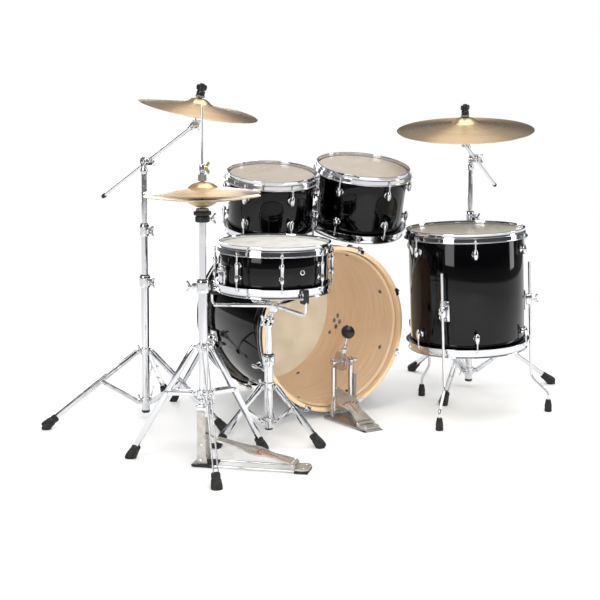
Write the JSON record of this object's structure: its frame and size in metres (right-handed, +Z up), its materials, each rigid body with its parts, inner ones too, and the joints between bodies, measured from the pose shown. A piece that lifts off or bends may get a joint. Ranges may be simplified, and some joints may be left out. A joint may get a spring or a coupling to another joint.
{
  "type": "acoustic drum kit",
  "caption": "Acoustic drum kit with bass drum, rack toms, floor tom, snare, hi-hat, boom cymbal stands and pedals, set up ready to play.",
  "frame": {"origin": "floor point under the middle of the kit's footprint box", "axes": "+Y the way the drummer faces, +X the drummer's right, +Z up"},
  "size_m": [1.9806, 1.1701, 1.1779],
  "materials": {
    "black_lacquered_maple": "gloss black lacquer over maple ply",
    "maple_hoop": "black lacquered maple, clear lacquered inside",
    "clear_film": "clear polyester film",
    "cream_film": "cream polyester film",
    "coated_film": "white sprayed coating on polyester film",
    "chrome": "chrome plate on steel and zinc",
    "steel_rim": "chrome plate on pressed steel",
    "snare_wire": "drawn steel wire",
    "bronze": "lathed cymbal bronze",
    "rubber": "moulded black rubber",
    "cast_aluminium": "satin cast aluminium",
    "chain": "steel roller chain"
  },
  "bodies": {
    "root": {"bass_shell": "black_lacquered_maple", "bass_batter_head": "clear_film", "bass_front_head": "cream_film", "bass_hoops": "maple_hoop", "bass_hardware": "chrome", "tom_bracket": "chrome", "floor_tom_legs": "chrome", "snare_stand_base": "chrome", "hihat_base": "chrome", "crash_base": "chrome", "ride_base": "chrome", "pedal_base": "chrome", "rubber_feet": "rubber"},
    "spur_left": {"spur_left": "chrome"},
    "spur_right": {"spur_right": "chrome"},
    "tom_12_lock": {"tom_12_lock": "chrome"},
    "tom_12_arm": {"tom_12_arm": "chrome"},
    "tom_12": {"tom_12_shell": "black_lacquered_maple", "tom_12_heads": "clear_film", "tom_12_hoops": "steel_rim", "tom_12_hardware": "chrome"},
    "tom_13_lock": {"tom_13_lock": "chrome"},
    "tom_13_arm": {"tom_13_arm": "chrome"},
    "tom_13": {"tom_13_shell": "black_lacquered_maple", "tom_13_heads": "clear_film", "tom_13_hoops": "steel_rim", "tom_13_hardware": "chrome"},
    "floor_tom": {"floor_tom_shell": "black_lacquered_maple", "floor_tom_heads": "clear_film", "floor_tom_hoops": "steel_rim", "floor_tom_hardware": "chrome"},
    "snare_post": {"snare_stand_post": "chrome"},
    "snare": {"snare_basket": "chrome", "snare_shell": "black_lacquered_maple", "snare_heads": "coated_film", "snare_hoops": "steel_rim", "snare_hardware": "chrome", "snare_wires": "snare_wire"},
    "snare_lever": {"snare_lever": "chrome"},
    "hihat_tube": {"hihat_tube": "chrome", "hihat_bottom_cymbal": "bronze"},
    "hihat_rod": {"hihat_rod": "chrome"},
    "hihat_clutch": {"hihat_clutch": "chrome", "hihat_top_cymbal": "bronze"},
    "hihat_footboard": {"hihat_footboard": "cast_aluminium"},
    "pedal_footboard": {"pedal_footboard": "cast_aluminium"},
    "pedal_beater": {"pedal_beater": "chrome"},
    "pedal_chain": {"pedal_chain": "chain"},
    "crash_middle_tube": {"crash_middle_tube": "chrome"},
    "crash_upper_tube": {"crash_upper_tube": "chrome"},
    "crash_boom_clamp": {"crash_boom_clamp": "chrome"},
    "crash_boom": {"crash_boom": "chrome"},
    "crash_tilter": {"crash_tilter": "chrome"},
    "crash_cymbal": {"crash_cymbal": "bronze"},
    "ride_middle_tube": {"ride_middle_tube": "chrome"},
    "ride_upper_tube": {"ride_upper_tube": "chrome"},
    "ride_boom_clamp": {"ride_boom_clamp": "chrome"},
    "ride_boom": {"ride_boom": "chrome"},
    "ride_tilter": {"ride_tilter": "chrome"},
    "ride_cymbal": {"ride_cymbal": "bronze"}
  },
  "joints": [
    {"name": "spur_left_fold", "type": "hinge", "parent": "root", "child": "spur_left", "pos_m": [-0.3353, 0.348, 0.2473], "axis": [-0.9279, 0, 0.3729], "range_deg": [0, 105]},
    {"name": "spur_right_fold", "type": "hinge", "parent": "root", "child": "spur_right", "pos_m": [0.2641, 0.348, 0.2473], "axis": [-0.9279, 0, -0.3729], "range_deg": [0, 105]},
    {"name": "tom_12_height", "type": "slide", "parent": "root", "child": "tom_12_lock", "axis": [0, 0, 1], "range_m": [0, 0.03]},
    {"name": "tom_12_swivel", "type": "hinge", "parent": "tom_12_lock", "child": "tom_12_arm", "pos_m": [-0.0576, 0.323, 0.7], "axis": [0, 0, -1], "range_deg": [0, 30]},
    {"name": "tom_12_tilt", "type": "hinge", "parent": "tom_12_arm", "child": "tom_12", "pos_m": [-0.0576, 0.323, 0.762], "axis": [1, 0, 0], "range_deg": [-15, 0]},
    {"name": "tom_13_height", "type": "slide", "parent": "root", "child": "tom_13_lock", "axis": [0, 0, 1], "range_m": [0, 0.03]},
    {"name": "tom_13_swivel", "type": "hinge", "parent": "tom_13_lock", "child": "tom_13_arm", "pos_m": [-0.0136, 0.323, 0.7], "axis": [0, 0, 1], "range_deg": [0, 30]},
    {"name": "tom_13_tilt", "type": "hinge", "parent": "tom_13_arm", "child": "tom_13", "pos_m": [-0.0136, 0.323, 0.762], "axis": [1, 0, 0], "range_deg": [-14, 0]},
    {"name": "floor_tom_height", "type": "slide", "parent": "root", "child": "floor_tom", "axis": [-0.033, 0.003, 0.9995], "range_m": [-0.06, 0.06]},
    {"name": "snare_height", "type": "slide", "parent": "root", "child": "snare_post", "axis": [0, 0, 1], "range_m": [-0.015, 0.1]},
    {"name": "snare_tilt", "type": "hinge", "parent": "snare_post", "child": "snare", "pos_m": [-0.3876, -0.187, 0.4], "axis": [1, 0, 0], "range_deg": [0, 20]},
    {"name": "snare_strainer", "type": "hinge", "parent": "snare", "child": "snare_lever", "pos_m": [-0.5788, -0.21045, 0.58732], "axis": [0, -0.9998, -0.02], "range_deg": [0, 100]},
    {"name": "hihat_pedal", "type": "hinge", "parent": "root", "child": "hihat_footboard", "pos_m": [-0.49143, -0.52506, 0.024], "axis": [-0.6947, -0.7193, 0], "range_deg": [0, 1.91], "stiffness_Nm_per_rad": 60, "springref_deg": -5.16},
    {"name": "hihat_pull", "type": "slide", "parent": "root", "child": "hihat_rod", "axis": [0, 0, -1], "range_m": [0, 0.0086]},
    {"name": "hihat_height", "type": "slide", "parent": "root", "child": "hihat_tube", "axis": [0, 0, 1], "range_m": [-0.1, 0.1]},
    {"name": "hihat_clutch_set", "type": "slide", "parent": "hihat_rod", "child": "hihat_clutch", "axis": [0, 0, 1], "range_m": [-0.101, 0.101]},
    {"name": "bass_pedal", "type": "hinge", "parent": "root", "child": "pedal_footboard", "pos_m": [-0.0356, -0.24, 0.02], "axis": [-1, 0, 0], "range_deg": [0, 7.9], "stiffness_Nm_per_rad": 20, "springref_deg": -5.73},
    {"name": "beater_swing", "type": "hinge", "parent": "root", "child": "pedal_beater", "pos_m": [-0.0356, -0.088, 0.206], "axis": [-1, 0, 0], "range_deg": [0, 41]},
    {"name": "pedal_chain_pull", "type": "slide", "parent": "root", "child": "pedal_chain", "axis": [0, 0, -1], "range_m": [0, 0.026]},
    {"name": "crash_lower_height", "type": "slide", "parent": "root", "child": "crash_middle_tube", "axis": [0, 0, 1], "range_m": [-0.08, 0.12]},
    {"name": "crash_upper_height", "type": "slide", "parent": "crash_middle_tube", "child": "crash_upper_tube", "axis": [0, 0, -1], "range_m": [-0.12, 0.08]},
    {"name": "crash_boom_tilt", "type": "hinge", "parent": "crash_upper_tube", "child": "crash_boom_clamp", "pos_m": [-0.6206, 0.28, 0.908], "axis": [-0.9756, -0.2194, 0], "range_deg": [-15, 30]},
    {"name": "crash_boom_slide", "type": "slide", "parent": "crash_boom_clamp", "child": "crash_boom", "axis": [0.1955, -0.8693, 0.4539], "range_m": [-0.1, 0.1]},
    {"name": "crash_tilter_angle", "type": "hinge", "parent": "crash_boom", "child": "crash_tilter", "pos_m": [-0.54704, 0.03495, 1.038], "axis": [0.9756, 0.2194, 0], "range_deg": [-25, 25]},
    {"name": "crash_cymbal_rock", "type": "hinge", "parent": "crash_tilter", "child": "crash_cymbal", "pos_m": [-0.53292, 0.01801, 1.12875], "axis": [0.9713, 0.2309, -0.0563], "range_deg": [-6, 6], "stiffness_Nm_per_rad": 3},
    {"name": "ride_lower_height", "type": "slide", "parent": "root", "child": "ride_middle_tube", "axis": [0, 0, 1], "range_m": [-0.075, 0.12]},
    {"name": "ride_upper_height", "type": "slide", "parent": "ride_middle_tube", "child": "ride_upper_tube", "axis": [0, 0, -1], "range_m": [-0.12, 0.075]},
    {"name": "ride_boom_tilt", "type": "hinge", "parent": "ride_upper_tube", "child": "ride_boom_clamp", "pos_m": [0.6634, 0.067, 0.895], "axis": [-0.619, 0.7854, 0], "range_deg": [-12, 30]},
    {"name": "ride_boom_slide", "type": "slide", "parent": "ride_boom_clamp", "child": "ride_boom", "axis": [-0.7464, -0.5882, 0.3114], "range_m": [-0.1, 0.1]},
    {"name": "ride_tilter_angle", "type": "hinge", "parent": "ride_boom", "child": "ride_tilter", "pos_m": [0.52354, -0.06614, 0.958], "axis": [0.619, -0.7854, 0], "range_deg": [-20, 25]},
    {"name": "ride_cymbal_rock", "type": "hinge", "parent": "ride_tilter", "child": "ride_cymbal", "pos_m": [0.51459, -0.08249, 1.05851], "axis": [0.6221, -0.7825, -0.0252], "range_deg": [-6, 6], "stiffness_Nm_per_rad": 3}
  ],
  "couplings": [
    {"joint": "hihat_pull", "follows": "hihat_pedal", "m_per_rad": 0.252},
    {"joint": "hihat_clutch_set", "follows": "hihat_height", "ratio": 1},
    {"joint": "beater_swing", "follows": "bass_pedal", "ratio": 5.1667},
    {"joint": "pedal_chain_pull", "follows": "bass_pedal", "m_per_rad": 0.186}
  ]
}
